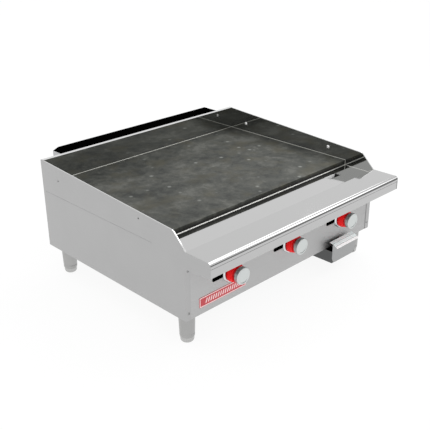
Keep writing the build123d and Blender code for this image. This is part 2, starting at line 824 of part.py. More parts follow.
# ---------------------------------------------------------------- fasteners
def domed_screw(x, y, z, direction, shank, length, dome, height):
    """Screw with a low domed head; direction points out of the head."""
    seat = Plane(origin=(x, y, z), z_dir=direction)
    sphere = (dome * dome + height * height) / (2 * height)
    head = Pos(0, 0, height - sphere) * Sphere(sphere)
    head &= Cylinder(dome, height, align=(Align.CENTER, Align.CENTER, Align.MIN))
    body = head + Cylinder(shank, length, align=(Align.CENTER, Align.CENTER, Align.MAX))
    return seat.location * body


def splash_screws():
    """Domed screws through each side splash and side panel."""
    screws = []
    for side in (-1, 1):
        for y in splash_screw_places:
            screws.append(domed_screw(side * splash_face, y, splash_screw_z, (-side, 0, 0),
                                      splash_screw_radius, splash_wall + sheet, splash_dome, dome_height))
    return group(screws)


def front_screws():
    """Screws that hold the control panel to the side panels' flanges."""
    return group([
        domed_screw(side * (half - flange_screw_inset), 0, z, (0, -1, 0), small_screw,
                    4 * sheet, pan_head, pan_head_height)
        for side in (-1, 1)
        for z in (screw_low, screw_high)
    ])


def flue_screws():
    """Screws through the flue's tabs into the back panel."""
    return group([
        domed_screw(x, body_depth, z, (0, 1, 0), small_screw, 3 * sheet, pan_head, pan_head_height)
        for (x, z) in flue_screw_places()
    ])


def leg_bolts():
    """Hexagon bolts through the base into the legs."""
    bolts = []
    for (x, y) in leg_places():
        head = Plane((x, y, 2 * sheet)) * RegularPolygon(1.6 * leg_bolt_radius, 6)
        bolt = extrude(head, amount=leg_bolt_radius)
        bolts.append(bolt + rod((x, y, -leg_cap), (x, y, 2 * sheet), leg_bolt_radius))
    return group(bolts)


# ---------------------------------------------------------------- build
os.makedirs("parts", exist_ok=True)

save("left_side_panel", left_side_panel())
save("right_side_panel", mirrored(left_side_panel()))
save("left_splash", left_splash())
save("right_splash", mirrored(left_splash()))
save("back_splash", back_splash())
save("griddle_plate", griddle_plate())
save("grease_trough", grease_trough())
save("front_ledge", front_ledge())
save("control_panel", control_panel())
save("back_panel", back_panel())
save("base_pan", base_pan())
save("front_plate_support", plate_support(plate_front + support_inset))
save("rear_plate_support", plate_support(plate_rear - support_inset - support_bar))
save("front_heat_shield", front_heat_shield())
save("left_heat_shield", left_heat_shield())
save("right_heat_shield", mirrored(left_heat_shield()))
save("chamber_floor", chamber_floor())
save("burner_rail", burner_rail())
save("gas_manifold", gas_manifold())
save("gas_inlet_pipe", gas_inlet_pipe())
save("pipe_clamps", pipe_clamps())
save("orifice_hoods", orifice_hoods())
save("pilot_line", pilot_line())
save("knob_bezels", knob_bezels())
save("badge_plate", badge_plate())
save("flue_box", flue_box())
save("drain_chute", drain_chute())
save("drawer_pan", drawer_pan())
save("drawer_front", drawer_front())
save("left_drawer_rail", left_drawer_rail())
save("right_drawer_rail", right_drawer_rail())
save("splash_screws", splash_screws())
save("front_screws", front_screws())
save("flue_screws", flue_screws())
save("leg_bolts", leg_bolts())
for (name, x) in zip(burner_names, burner_x):
    save(name + "_burner", burner(x))
    save(name + "_valve", valve(x))
    save(name + "_valve_stem", valve_stem(x))
    save(name + "_knob_skirt", knob_skirt(x))
    save(name + "_knob_grip", knob_grip(x))
for (name, place) in zip(["front_left", "front_right", "rear_left", "rear_right"], leg_places()):
    save(name + "_leg", leg(*place))
    save(name + "_foot", foot(*place))
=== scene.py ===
import math

import bmesh
import bpy
import numpy as np
from mathutils import Matrix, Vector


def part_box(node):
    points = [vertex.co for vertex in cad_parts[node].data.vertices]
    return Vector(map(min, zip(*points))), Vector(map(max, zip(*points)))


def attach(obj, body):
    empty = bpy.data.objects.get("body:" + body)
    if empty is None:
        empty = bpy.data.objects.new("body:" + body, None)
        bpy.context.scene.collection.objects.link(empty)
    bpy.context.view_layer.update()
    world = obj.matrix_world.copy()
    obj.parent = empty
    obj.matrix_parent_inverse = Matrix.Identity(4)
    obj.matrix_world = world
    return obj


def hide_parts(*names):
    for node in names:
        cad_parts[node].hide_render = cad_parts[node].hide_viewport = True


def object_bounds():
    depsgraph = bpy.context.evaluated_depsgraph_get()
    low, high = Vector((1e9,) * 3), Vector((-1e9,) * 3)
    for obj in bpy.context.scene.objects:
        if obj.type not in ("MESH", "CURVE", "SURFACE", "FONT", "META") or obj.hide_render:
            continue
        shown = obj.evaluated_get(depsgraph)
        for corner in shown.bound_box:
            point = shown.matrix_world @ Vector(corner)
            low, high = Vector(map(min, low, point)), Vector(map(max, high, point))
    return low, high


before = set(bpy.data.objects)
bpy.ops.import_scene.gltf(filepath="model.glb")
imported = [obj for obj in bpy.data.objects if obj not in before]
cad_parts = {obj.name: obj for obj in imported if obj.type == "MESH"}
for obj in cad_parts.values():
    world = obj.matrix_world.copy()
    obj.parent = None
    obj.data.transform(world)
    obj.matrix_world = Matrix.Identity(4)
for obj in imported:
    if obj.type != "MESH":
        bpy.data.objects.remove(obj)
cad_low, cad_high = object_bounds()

# ---------------------------------------------------------------- studio
# A plain white floor in a white room, with two soft boxes above the front and a low grey flag, so that the
# bullnose carries two lines of light and a dark one. The camera stands at the front left, above the plate.
scene = bpy.context.scene
scene.view_settings.view_transform = "Standard"
MM = 0.001


def linear(hex_colour):
    """The linear RGBA of an sRGB hex colour such as "#c0c0c0"."""
    srgb = np.array([int(hex_colour[i:i + 2], 16) for i in (1, 3, 5)]) / 255
    rgb = np.where(srgb <= 0.04045, srgb / 12.92, ((srgb + 0.055) / 1.055) ** 2.4)
    return (*rgb.tolist(), 1.0)


def add(tree, kind, sockets=None, **settings):
    """Adds one node. settings are its own values, and sockets takes values or other nodes' outputs."""
    made = tree.nodes.new(kind)
    for name, value in settings.items():
        setattr(made, name, value)
    for name, value in (sockets or {}).items():
        if isinstance(value, bpy.types.NodeSocket):
            tree.links.new(value, made.inputs[name])
        else:
            made.inputs[name].default_value = value
    return made


def new_surface(name, **values):
    """A material named for its finish, with its tree and its surface. values set the surface's inputs."""
    material = bpy.data.materials.new(name)
    material.use_nodes = True
    tree = material.node_tree
    surface = tree.nodes["Principled BSDF"]
    for socket, value in values.items():
        surface.inputs[socket.replace("_", " ")].default_value = value
    return material, tree, surface


camera_place = (-1.6282, -1.6539, 1.2371)
camera_azimuth = math.radians(-44.32)
camera_down = math.radians(24.27)
camera_roll = math.radians(-0.41)
camera = bpy.data.objects.new("camera", bpy.data.cameras.new("camera"))
camera.data.sensor_width = 36.0
camera.data.lens = 59.77
camera.matrix_world = (
    Matrix.Translation(camera_place)
    @ Matrix.Rotation(camera_azimuth, 4, "Z")
    @ Matrix.Rotation(math.pi / 2 - camera_down, 4, "X")
    @ Matrix.Rotation(camera_roll, 4, "Z")
)
scene.collection.objects.link(camera)
scene.camera = camera

room = bpy.data.worlds.new("white_room")
room.use_nodes = True
room.node_tree.nodes["Background"].inputs["Color"].default_value = linear("#ffffff")
room.node_tree.nodes["Background"].inputs["Strength"].default_value = 1.0
scene.world = room

box_distance = 3.4
aim_height = 0.3


def softbox(name, toward_box, level_side, upright_side, radiance):
    """A rectangular lamp that faces the ledge from a given direction. Its power gives the stated radiance."""
    lamp = bpy.data.lights.new(name, "AREA")
    lamp.shape = "RECTANGLE"
    lamp.size = level_side
    lamp.size_y = upright_side
    lamp.energy = radiance * math.pi * level_side * upright_side
    box = bpy.data.objects.new(name, lamp)
    away = np.array(toward_box) / np.linalg.norm(toward_box)
    place = np.array((0.0, cad_low.y, aim_height)) + box_distance * away
    level = np.cross((0, 0, 1), away)
    level /= np.linalg.norm(level)
    upright = np.cross(away, level)
    turn = np.eye(4)
    turn[:3, 0], turn[:3, 1], turn[:3, 2], turn[:3, 3] = level, upright, away, place
    box.matrix_world = Matrix(turn.tolist())
    box.visible_camera = False
    scene.collection.objects.link(box)


def card(name, middle, half_side, half_rise, material):
    """A flat rectangle, given by its middle and two half sides as vectors."""
    middle, half_side, half_rise = np.array([middle, half_side, half_rise], float)
    corners = [(middle + a * half_side + b * half_rise).tolist()
               for (a, b) in ((-1, -1), (1, -1), (1, 1), (-1, 1))]
    mesh = bpy.data.meshes.new(name)
    mesh.from_pydata(corners, [], [(0, 1, 2, 3)])
    mesh.materials.append(material)
    made = bpy.data.objects.new(name, mesh)
    scene.collection.objects.link(made)
    return made


softbox("high_softbox", (0.62, 0.35, 0.71), level_side=1.0, upright_side=2.3, radiance=2.2)
softbox("front_softbox", (0.637, -0.33, 0.7), level_side=1.0, upright_side=2.4, radiance=2.2)

floor_reach = 40.0
paint, _, _ = new_surface("matt_white_floor_paint", Base_Color=linear("#5c5c5c"), Roughness=0.9,
                          Specular_IOR_Level=0.0, Emission_Color=linear("#ffffff"), Emission_Strength=0.9)
floor = card("studio_floor", (0, 0, 0), (floor_reach, 0, 0), (0, floor_reach, 0), paint)

felt, _, _ = new_surface("grey_felt", Base_Color=linear("#8a8a8a"), Roughness=1.0, Specular_IOR_Level=0.0)
flag_distance, flag_height = 2.2, 0.52
flag_half_width, flag_half_height = 1.6, 0.5
toward_flag, along_flag = np.array((0.647, -0.762, 0.0)), np.array((0.762, 0.647, 0.0))
flag = card("grey_flag", np.array((0.0, cad_low.y, flag_height)) + flag_distance * toward_flag,
            flag_half_width * along_flag, (0, 0, flag_half_height), felt)
flag.visible_camera = False
flag.visible_diffuse = False
flag.visible_shadow = False

# ---------------------------------------------------------------- folded stainless body
# Side, back and control panels folded from 1.5 mm stainless sheet with a number 4 finish: a fine
# one-way grain laid by an abrasive belt along the length of each sheet, and nearly no colour.


def brushed(name, light, dark, along, roughness, relief=0.012):
    """Brushed metal: noise stretched along one axis mixes two greys, varies the gloss and lifts the grain.

    A number 4 belt leaves grain about 0.1 mm wide. It is drawn 1.2 mm wide and 90 mm long, so that it shows.
    """
    material, tree, surface = new_surface(name, Metallic=1.0)
    grain_width, grain_length = 1.2 * MM, 90 * MM
    grain_share, cloud_share = 0.35, 0.65
    scale = [1 / grain_width] * 3
    scale["XYZ".index(along)] = 1 / grain_length
    place = add(tree, "ShaderNodeTexCoord").outputs["Object"]
    stretched = add(tree, "ShaderNodeMapping", {"Vector": place, "Scale": scale}).outputs["Vector"]
    grain = add(tree, "ShaderNodeTexNoise", {"Vector": stretched, "Scale": 1.0, "Detail": 3.0,
                                             "Roughness": 0.6})
    cloud = add(tree, "ShaderNodeTexNoise", {"Vector": place, "Scale": 9.0, "Detail": 2.0})
    blend = add(tree, "ShaderNodeMath", {0: cloud.outputs["Fac"], 1: cloud_share}, operation="MULTIPLY")
    mixed = add(tree, "ShaderNodeMath", {0: grain.outputs["Fac"], 1: grain_share, 2: blend.outputs[0]},
                operation="MULTIPLY_ADD")
    tone = add(tree, "ShaderNodeMix", {"Factor": mixed.outputs[0], "A": linear(dark), "B": linear(light)},
               data_type="RGBA")
    gloss = add(tree, "ShaderNodeMapRange", {"Value": grain.outputs["Fac"], "To Min": roughness * 0.8,
                                             "To Max": roughness * 1.25})
    lift = add(tree, "ShaderNodeBump", {"Height": grain.outputs["Fac"], "Strength": 0.25,
                                        "Distance": relief * MM})
    tree.links.new(tone.outputs["Result"], surface.inputs["Base Color"])
    tree.links.new(gloss.outputs["Result"], surface.inputs["Roughness"])
    tree.links.new(lift.outputs["Normal"], surface.inputs["Normal"])
    return material


def dress(names, material):
    """Gives each named CAD node one material."""
    for name in names:
        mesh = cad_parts[name].data
        mesh.materials.clear()
        mesh.materials.append(material)


dress(["left_side_panel", "right_side_panel"],
      brushed("brushed_stainless_side", "#b4b4b4", "#acacac", "Y", 0.3))
dress(["control_panel"], brushed("brushed_stainless_front", "#c1c1c1", "#b9b9b9", "X", 0.5))
dress(["back_panel"], brushed("brushed_stainless_back", "#b4b5b6", "#a8a9aa", "X", 0.34))

# ---------------------------------------------------------------- polished splash guards
# Three 3 mm stainless guards, buffed to a mirror on the inside, so they show the plate upside down.
# Each is welded to the plate's edge. The welds are ground to thin satin fillets, and the front ones are
# painted paler: a painted highlight.


def mirror_polish(name, colour, roughness, smear=0.02, edge=None):
    """Buffed stainless: almost a mirror, with faint wiping marks 40 mm long in the roughness only.

    An edge colour is a painted highlight on a sheet's ground edge: it shows where the surface faces up.
    """
    material, tree, surface = new_surface(name, Metallic=1.0, Base_Color=linear(colour))
    if edge:
        facing = add(tree, "ShaderNodeNewGeometry").outputs["Normal"]
        height = add(tree, "ShaderNodeSeparateXYZ", {"Vector": facing}).outputs["Z"]
        upward_highlight = add(tree, "ShaderNodeMath", {0: height, 1: 0.3}, operation="GREATER_THAN")
        tone = add(tree, "ShaderNodeMix", {"Factor": upward_highlight.outputs[0], "A": linear(colour),
                                           "B": linear(edge)}, data_type="RGBA")
        tree.links.new(tone.outputs["Result"], surface.inputs["Base Color"])
    place = add(tree, "ShaderNodeTexCoord").outputs["Object"]
    marks = add(tree, "ShaderNodeTexNoise", {"Vector": place, "Scale": 1 / (40 * MM), "Detail": 4.0,
                                             "Distortion": 0.8})
    wiped = add(tree, "ShaderNodeMapRange", {"Value": marks.outputs["Fac"], "To Min": roughness,
                                             "To Max": roughness + smear})
    tree.links.new(wiped.outputs["Result"], surface.inputs["Roughness"])
    return material


# The guards' upward faces, their top edges, are painted paler: a painted highlight.
polish = mirror_polish("mirror_buffed_stainless", "#adaeac", 0.03, edge="#d6d6d6")
dress(["left_splash", "right_splash", "back_splash"], polish)


def piece(name, points, faces, material, body, smooth_angle=22.0):
    """A new object from arrays of points and faces: merged, facing outwards, and riding on its body."""
    mesh = bpy.data.meshes.new(name)
    mesh.from_pydata(np.asarray(points, float).tolist(), [], [list(face) for face in faces])
    work = bmesh.new()
    work.from_mesh(mesh)
    bmesh.ops.remove_doubles(work, verts=work.verts, dist=1e-6)
    bmesh.ops.recalc_face_normals(work, faces=work.faces)
    work.to_mesh(mesh)
    work.free()
    mesh.shade_smooth()
    mesh.set_sharp_from_angle(angle=math.radians(smooth_angle))
    mesh.materials.append(material)
    made = bpy.data.objects.new(name, mesh)
    scene.collection.objects.link(made)
    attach(made, body)
    return made


def grid_faces(rows, columns, close_rows=False, close_columns=False):
    """Quads between neighbours of a grid whose point (i, j) has the number i * columns + j."""
    i, j = np.indices((rows - (not close_rows), columns - (not close_columns))).reshape(2, -1)
    below, beside = (i + 1) % rows, (j + 1) % columns
    return np.stack([i * columns + j, below * columns + j, below * columns + beside, i * columns + beside], 1)


def along_path(path, profile):
    """A profile carried along a path: each point is a path point plus a and b times its two side vectors.

    path is a list of (point, first side vector, second side vector), and profile holds the (a, b) factors.
    """
    rows = [np.asarray(point) + np.outer(profile[:, 0], first) + np.outer(profile[:, 1], second)
            for (point, first, second) in path]
    return np.concatenate(rows)


def swept(name, path, profile, material, body):
    """A closed solid: the closed profile carried along the path, with a flat face at each end."""
    columns = len(profile)
    points = along_path(path, profile)
    faces = [list(face) for face in grid_faces(len(path), columns, close_columns=True)]
    last = (len(path) - 1) * columns
    faces += [list(range(columns)), list(range(last, last + columns))]
    return piece(name, points, faces, material, body)


def fillet_profile(leg, steps=6):
    """A hollow weld fillet: the corner, then a quarter arc about the point (leg, leg) that faces away."""
    angle = np.linspace(0, math.pi / 2, steps + 1)
    arc = leg * np.stack([1 - np.sin(angle), 1 - np.cos(angle)], 1)
    return np.concatenate([[[0.0, 0.0]], arc[::-1]])


bead_metal = mirror_polish("ground_weld", "#a9a9a4", 0.3)
# The front and trough welds get a paler colour, which is a painted highlight.
highlight_bead = mirror_polish("weld_painted_highlight", "#d9d9d5", 0.3)
plate_low, plate_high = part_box("griddle_plate")
bead = fillet_profile(1.7 * MM)
front_bead = fillet_profile(2.0 * MM)
left, right = plate_low.x, plate_high.x
front, rear = plate_low.y, plate_high.y
top, seat = plate_high.z, plate_low.z
up = (0, 0, 1)
swept("plate_edge_weld", [
    ((left, front, top), (1, 0, 0), up),
    ((left, rear, top), (1, -1, 0), up),
    ((right, rear, top), (-1, -1, 0), up),
    ((right, front, top), (-1, 0, 0), up),
], bead, bead_metal, "body")
for side, x in ((1, left), (-1, right)):
    swept("corner_weld_" + ("left" if side > 0 else "right"), [
        ((x, front, seat), (side, 0, 0), (0, -1, 0)),
        ((x, front, top), (side, 0, 0), (0, -1, 0)),
    ], bead, bead_metal, "body")
swept("plate_front_weld", [
    ((left, front, seat), (0, -1, 0), up),
    ((right, front, seat), (0, -1, 0), up),
], front_bead, highlight_bead, "body")

# ---------------------------------------------------------------- griddle plate
# One slab of 19 mm steel, ground flat and darkened by oil: dull grey with paler and olive
# clouds, and small bright specks where the scraper has been. It is welded to the guards.


def seasoned_steel(name):
    """Oil-seasoned ground steel: three sizes of noise mix dark grey and olive, and cells add bright specks.

    From 1 to 13 mm under the ground top, the slab's side is painted darker towards the bottom.
    """
    material, tree, surface = new_surface(name, Metallic=0.75)
    dark_starts, dark_full = 1 * MM, 13 * MM
    place = add(tree, "ShaderNodeTexCoord").outputs["Object"]
    broad = add(tree, "ShaderNodeTexNoise", {"Vector": place, "Scale": 1 / (110 * MM), "Detail": 5.0,
                                             "Roughness": 0.62, "Distortion": 0.6})
    fine = add(tree, "ShaderNodeTexNoise", {"Vector": place, "Scale": 1 / (26 * MM), "Detail": 6.0,
                                            "Roughness": 0.7, "Distortion": 0.4})
    speck = add(tree, "ShaderNodeTexVoronoi", {"Vector": place, "Scale": 1 / (55 * MM), "Randomness": 1.0})
    clouds = add(tree, "ShaderNodeMath", {0: fine.outputs["Fac"], 1: 0.45}, operation="MULTIPLY")
    clouds = add(tree, "ShaderNodeMath", {0: broad.outputs["Fac"], 1: 0.55, 2: clouds.outputs[0]},
                 operation="MULTIPLY_ADD")
    ramp = add(tree, "ShaderNodeValToRGB", {"Fac": clouds.outputs[0]})
    for at, colour in ((0.4, "#30322f"), (0.47, "#444642"), (0.53, "#50514c"), (0.6, "#63645f")):
        stop = ramp.color_ramp.elements.new(at)
        stop.color = linear(colour)
    ramp.color_ramp.elements.remove(ramp.color_ramp.elements[0])
    ramp.color_ramp.elements.remove(ramp.color_ramp.elements[-1])
    warm = add(tree, "ShaderNodeTexNoise", {"Vector": place, "Scale": 1 / (70 * MM), "Detail": 3.0, "W": 4.0},
               noise_dimensions="4D")
    warm_part = add(tree, "ShaderNodeMapRange", {"Value": warm.outputs["Fac"], "From Min": 0.5,
                                                 "From Max": 0.68, "To Min": 0.0, "To Max": 0.6})
    olive = add(tree, "ShaderNodeMix", {"Factor": warm_part.outputs["Result"], "A": ramp.outputs["Color"],
                                        "B": linear("#4d4a3b")}, data_type="RGBA")
    bright = add(tree, "ShaderNodeMapRange", {"Value": speck.outputs["Distance"], "From Min": 0.06,
                                              "From Max": 0.17, "To Min": 0.6, "To Max": 0.0})
    flecked = add(tree, "ShaderNodeMix", {"Factor": bright.outputs["Result"], "A": olive.outputs["Result"],
                                          "B": linear("#9c9f9a")}, data_type="RGBA")
    height = add(tree, "ShaderNodeSeparateXYZ", {"Vector": place}).outputs["Z"]
    # The side grows darker towards the bottom, down to a near-black grey.
    side = add(tree, "ShaderNodeMapRange", {"Value": height, "From Min": top - dark_full,
                                            "From Max": top - dark_starts, "To Min": 1.0, "To Max": 0.0})
    tone = add(tree, "ShaderNodeMix", {"Factor": side.outputs["Result"], "A": flecked.outputs["Result"],
                                       "B": linear("#262624")}, data_type="RGBA")
    gloss = add(tree, "ShaderNodeMapRange", {"Value": fine.outputs["Fac"], "To Min": 0.42, "To Max": 0.62})
    lift = add(tree, "ShaderNodeBump", {"Height": fine.outputs["Fac"], "Strength": 0.2,
                                        "Distance": 0.15 * MM})
    tree.links.new(tone.outputs["Result"], surface.inputs["Base Color"])
    tree.links.new(gloss.outputs["Result"], surface.inputs["Roughness"])
    tree.links.new(lift.outputs["Normal"], surface.inputs["Normal"])
    return material


def rounded(corners, radii, steps=6):
    """A closed outline whose corners are arcs that touch both sides at radius / tan(half the corner's angle).

    A point just before and after each arc keeps the flat sides' shading flat.
    """
    corners = np.asarray(corners, float)
    outline = []
    for i, radius in enumerate(radii):
        corner = corners[i]
        if radius == 0:
            outline.append(corner[None])
            continue
        back = corners[i - 1] - corner
        ahead = corners[(i + 1) % len(corners)] - corner
        back /= np.linalg.norm(back)
        ahead /= np.linalg.norm(ahead)
        half_angle = math.acos(back @ ahead) / 2
        middle = back + ahead
        centre = corner + middle / np.linalg.norm(middle) * radius / math.sin(half_angle)
        reach = radius / math.tan(half_angle)
        start, end = corner + back * reach - centre, corner + ahead * reach - centre
        turn = math.pi - 2 * half_angle
        share = np.linspace(0, 1, steps + 1)[:, None]
        arc = centre + (np.sin((1 - share) * turn) * start + np.sin(share * turn) * end) / math.sin(turn)
        hold = 0.08 * radius
        outline += [arc[:1] + back * hold, arc, arc[-1:] + ahead * hold]
    return np.concatenate(outline)


def across(name, outline, x0, x1, material, body):
    """A solid of constant section: an outline of (y, z) points carried from x0 to x1."""
    path = [((x, 0, 0), (0, 1, 0), up) for x in (x0, x1)]
    return swept(name, path, outline, material, body)


eased_edge = 1.2 * MM
plate = across("seasoned_plate", rounded(
    [(front, seat), (front, top), (rear, top), (rear, seat)], [0, eased_edge, 0, 0]),
    left, right, seasoned_steel("seasoned_ground_steel"), "body")
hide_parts("griddle_plate")

# ---------------------------------------------------------------- front ledge and grease trough
# One bent stainless sheet: up from the trough, level over the controls, round a rolled bullnose that
# stands proud of the lip, and down to a hem. The trough is buffed, so it mirrors the plate's edge.
ledge_low, ledge_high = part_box("front_ledge")
lip_sheet = 1.5 * MM
bullnose = 13.0 * MM
bullnose_proud = 1.1 * MM
bullnose_step = 0.8 * MM
bullnose_overrun = 28
ledge_level = 100 * MM
kink = ledge_low.y + ledge_level
trough_front = ledge_high.y
trough_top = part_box("grease_trough")[1].z
hem = 12 * MM
hem_bend = 2 * MM
hem_bend_cut = 0.6 * MM
trough_bead = fillet_profile(1.4 * MM)


def ledge_outline(steps=24, inner_steps=16):
    """Section of the ledge: straight runs, and a bullnose arc that goes on 28 degrees past the upright."""
    nose = np.array([ledge_low.y + bullnose, ledge_high.z - bullnose])
    angle = np.radians(np.linspace(90, 180 + bullnose_overrun, steps + 1))
    arc = nose + bullnose * np.stack([np.cos(angle), np.sin(angle)], 1)
    lip = ledge_low.y + bullnose_proud
    under = arc[-1][1] - bullnose_step
    outer = np.concatenate([
        [(trough_front, trough_top), (kink, ledge_high.z), (nose[0] + bullnose_step, ledge_high.z)],
        arc,
        [(lip, under), (lip, ledge_low.z + hem_bend), (lip + hem_bend_cut, ledge_low.z + hem_bend_cut),
         (lip + hem_bend, ledge_low.z), (lip + hem, ledge_low.z)],
    ])
    angle = angle[:inner_steps + 1]
    inner_arc = nose + (bullnose - lip_sheet) * np.stack([np.cos(angle), np.sin(angle)], 1)
    inner = np.concatenate([
        [(lip + hem, ledge_low.z + lip_sheet), (lip + lip_sheet, ledge_low.z + lip_sheet)],
        inner_arc[::-1],
        [(kink, ledge_high.z - lip_sheet), (trough_front - 2 * lip_sheet, trough_top)],
    ])
    return np.concatenate([outer, inner])


ledge = across("rolled_front_ledge", ledge_outline(), ledge_low.x, ledge_high.x,
               mirror_polish("buffed_ledge_sheet", "#bdbdbd", 0.06), "body")
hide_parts("front_ledge")
dress(["grease_trough"], mirror_polish("buffed_trough_sheet", "#c2c2c2", 0.05))
for side, x in ((1, left), (-1, right)):
    swept("trough_weld_" + ("left" if side > 0 else "right"), [
        ((x, front, seat), (side, 0, 0), up),
        ((x, trough_front, trough_top), (side, 0, 0), up),
        ((x, kink, ledge_high.z), (side, 0, 0), up),
    ], trough_bead, highlight_bead, "body")

# ---------------------------------------------------------------- screws
# Stainless round-head screws, turned and tumbled, each with a small round dimple in its head.
# The splash screws pass through guard and side panel, and their ends stop just inside the panel's hole.


def lathe_points(profile, origin, direction, sides):
    """Spins (r, h) points: origin + r cos(a) u + r sin(a) v + h n, with u and v square to the direction n."""
    n = np.asarray(direction, float)
    n /= np.linalg.norm(n)
    u = np.cross(n, (0, 0, 1) if abs(n[2]) < 0.9 else (1, 0, 0))
    u /= np.linalg.norm(u)
    v = np.cross(n, u)
    angle = np.linspace(0, 2 * math.pi, sides, endpoint=False)
    ring = np.outer(np.cos(angle), u) + np.outer(np.sin(angle), v)
    profile = np.asarray(profile, float)
    points = origin + profile[:, 0, None, None] * ring + profile[:, 1, None, None] * n
    return points.reshape(-1, 3)


def turned(name, profiles, material, body, sides=96, closed=False):
    """Turned solids joined as one piece, from a list of ((r, h) points, origin, direction).

    An open profile starts and ends on the axis. A closed one is a ring.
    """
    points, faces, count = [], [], 0
    for (profile, origin, direction) in profiles:
        points.append(lathe_points(profile, np.asarray(origin, float), direction, sides))
        faces.append(grid_faces(len(profile), sides, close_rows=closed, close_columns=True) + count)
        count += len(points[-1])
    return piece(name, np.concatenate(points), np.concatenate(faces), material, body)


def dome(radius, height, steps=8):
    """(r, h) points of a spherical cap from its rim to its top."""
    sphere = (radius ** 2 + height ** 2) / (2 * height)
    angle = np.linspace(math.asin(radius / sphere), 0, steps + 1)
    return np.stack([sphere * np.sin(angle), sphere * np.cos(angle) - sphere + height], 1)


def screw_profile(head_radius, head_height, shank_radius, length):
    """Half section of a round-head screw, from the end of its shank to a small dimple in its head."""
    cap = dome(head_radius, head_height)
    dimple = 0.35 * head_radius
    cap = cap[cap[:, 0] > dimple]
    dimple_rim = cap[-1, 1] - 0.02 * head_height
    dimple_floor = cap[-1, 1] - 0.5 * head_height
    return np.concatenate([
        [(0, -length), (shank_radius, -length), (shank_radius, 0), (head_radius, 0)],
        cap,
        [(dimple, dimple_rim), (0.6 * dimple, dimple_floor), (0, dimple_floor)],
    ])


small_screw_metal = mirror_polish("tumbled_stainless_screw", "#9c9c9c", 0.35)


def screw_painted_glint_and_shade():
    """White heads, a painted highlight, and tips painted black, a painted shade in the side panel's holes;
    the black begins 1 mm past the guards' inner faces.
    """
    material, tree, surface = new_surface("screw_painted_glint_and_shade", Metallic=0.25, Roughness=0.4)
    shade_start = right + 1 * MM
    place = add(tree, "ShaderNodeTexCoord").outputs["Object"]
    across_x = add(tree, "ShaderNodeSeparateXYZ", {"Vector": place}).outputs["X"]
    sideways = add(tree, "ShaderNodeMath", {0: across_x}, operation="ABSOLUTE")
    shaded_tip = add(tree, "ShaderNodeMath", {0: sideways.outputs[0], 1: shade_start}, operation="GREATER_THAN")
    # White is a painted highlight on the heads, and black is painted shade in the holes.
    tone = add(tree, "ShaderNodeMix", {"Factor": shaded_tip.outputs[0], "A": linear("#ffffff"),
                                       "B": linear("#101010")}, data_type="RGBA")
    tree.links.new(tone.outputs["Result"], surface.inputs["Base Color"])
    return material


def solids_of(node):
    """The corners (low, high) of each separate solid in a CAD node, from a merged copy of its mesh."""
    work = bmesh.new()
    work.from_mesh(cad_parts[node].data)
    bmesh.ops.remove_doubles(work, verts=work.verts, dist=1e-6)
    waiting = set(work.verts)
    found = []
    while waiting:
        front_line = [waiting.pop()]
        corners = []
        while front_line:
            vertex = front_line.pop()
            corners.append(tuple(vertex.co))
            near = [edge.other_vert(vertex) for edge in vertex.link_edges]
            fresh = [other for other in near if other in waiting]
            waiting.difference_update(fresh)
            front_line += fresh
        found.append((np.min(corners, 0), np.max(corners, 0)))
    work.free()
    return sorted(found, key=lambda pair: tuple(pair[0].round(4)))


def seats_along(node, axis, head_height, outward):
    """Where each screw of a node sits under its head, and the way it points, which outward gives."""
    seats = []
    for (low, high) in solids_of(node):
        middle = (low + high) / 2
        direction = np.zeros(3)
        direction[axis] = outward(middle)
        point = middle.copy()
        point[axis] = (high if direction[axis] > 0 else low)[axis] - direction[axis] * head_height
        seats.append((point, direction))
    return seats


def screw_row(name, replaced, axis, outward, head_radius, head_height, shank_radius, length, material):
    """One piece that holds a node's like screws, each with its head where outward points along the axis."""
    profile = screw_profile(head_radius, head_height, shank_radius, length)
    seats = seats_along(replaced, axis, head_height, outward)
    made = turned(name, [(profile, point, direction) for (point, direction) in seats],
                  material, "body", sides=32)
    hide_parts(replaced)


screw_row("splash_screw_heads", "splash_screws", 0, lambda middle: -np.sign(middle[0]),
          head_radius=6.5 * MM, head_height=3 * MM, shank_radius=2.5 * MM, length=3.3 * MM,
          material=screw_painted_glint_and_shade())
small_screws = {
    "front_screws": (-1.0, 5 * MM),
    "flue_screws": (1.0, 4.5 * MM),
}
for name, (way, length) in small_screws.items():
    screw_row(name.replace("screws", "screw_heads"), name, 1, lambda middle, way=way: way,
              head_radius=4.5 * MM, head_height=2.5 * MM, shank_radius=2 * MM, length=length,
              material=small_screw_metal)

# ---------------------------------------------------------------- knobs
# Each knob is a chrome bezel on the panel, a glossy red moulded skirt, and a polished
# round grip of cast aluminium on a narrow neck, with a shallow dish in its face.
chrome, _, _ = new_surface("bright_chrome_plate", Metallic=1.0, Base_Color=linear("#d8dadc"), Roughness=0.12)


def red_moulding():
    """Glossy moulded phenolic: saturated red with a clear skin and a faint orange peel 3 mm across."""
    material, tree, surface = new_surface("glossy_red_moulding", Base_Color=linear("#ff1418"), Roughness=0.4,
                                          Specular_IOR_Level=0.2, Coat_Weight=0.08, Coat_Roughness=0.15)
    place = add(tree, "ShaderNodeTexCoord").outputs["Object"]
    peel = add(tree, "ShaderNodeTexNoise", {"Vector": place, "Scale": 1 / (3 * MM), "Detail": 1.0})
    lift = add(tree, "ShaderNodeBump", {"Height": peel.outputs["Fac"], "Strength": 0.15,
                                        "Distance": 0.05 * MM})
    tree.links.new(lift.outputs["Normal"], surface.inputs["Normal"])
    return material


red = red_moulding()
grip_metal = mirror_polish("polished_aluminium", "#ced2d1", 0.3)
forward = (0, -1, 0)
knob_sides = ("left", "centre", "right")

